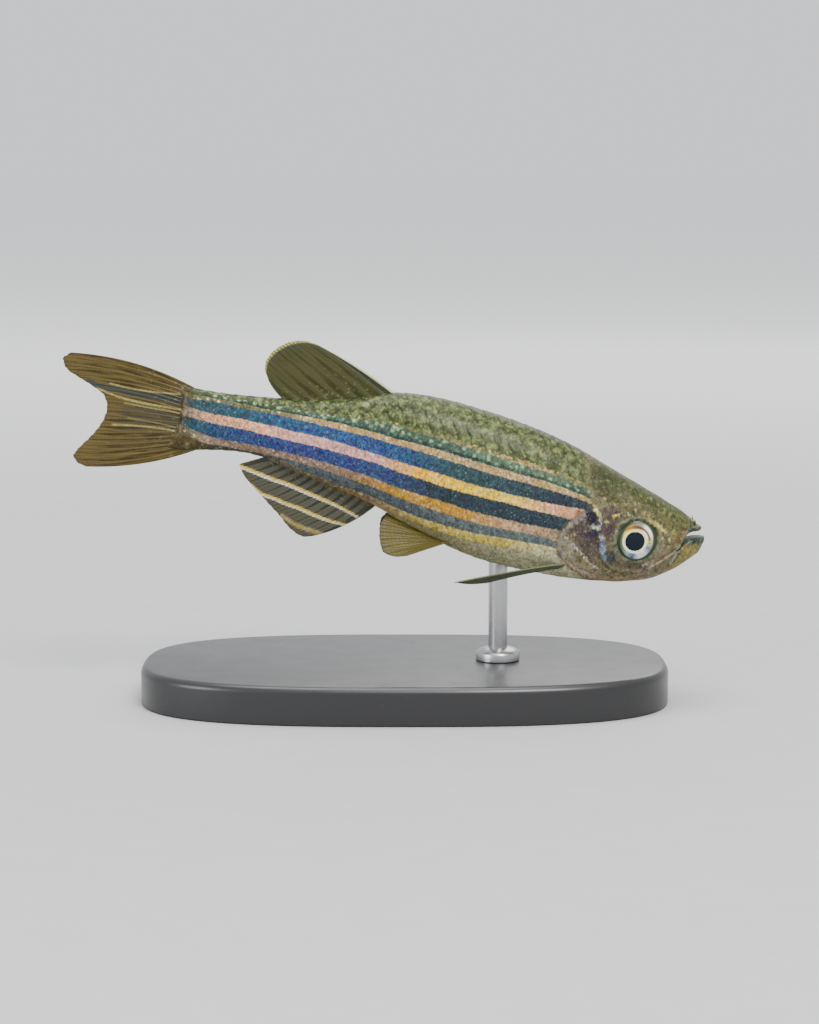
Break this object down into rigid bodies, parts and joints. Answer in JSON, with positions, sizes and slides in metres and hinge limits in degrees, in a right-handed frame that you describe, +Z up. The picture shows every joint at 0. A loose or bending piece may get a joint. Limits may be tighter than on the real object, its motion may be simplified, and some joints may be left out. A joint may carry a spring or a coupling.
{
  "type": "zebra danio display model",
  "caption": "Life-size zebra danio, a small slender striped fish, held head down on a rod over an oval base as a still display model.",
  "frame": {"origin": "middle of the stand base's underside, on the surface that it stands on", "axes": "+X towards the fish's head, +Y towards its left side, +Z up"},
  "size_m": [0.0437, 0.019, 0.0245],
  "materials": {
    "flank": "painted and varnished scaly skin: blue-black and pale gold stripes under an olive back, with fine metallic flecks",
    "head": "painted and varnished scaleless skin, olive with gold flecks",
    "gill_cover": "painted and varnished, purple-brown with silver and gold patches",
    "jaw": "painted and varnished, pale yellowish skin with grey-green lips",
    "eye": "glossy, silver-gold iris round a black pupil under a clear cornea",
    "fin": "thin, see-through olive membrane stiffened by fine rays",
    "stand_base": "satin black",
    "stand_rod": "plain round steel rod with a small collar"
  },
  "bodies": {
    "root": {"head": "head", "lower_jaw": "jaw", "gill_cover_right": "gill_cover", "gill_cover_left": "gill_cover", "torso": "flank", "tail": "flank", "eye_right": "eye", "eye_left": "eye", "dorsal_fin": "fin", "caudal_fin": "fin", "anal_fin": "fin", "pelvic_fin_right": "fin", "pelvic_fin_left": "fin", "pectoral_fin_right": "fin", "pectoral_fin_left": "fin", "stand_base": "stand_base", "stand_rod": "stand_rod"}
  },
  "joints": []
}
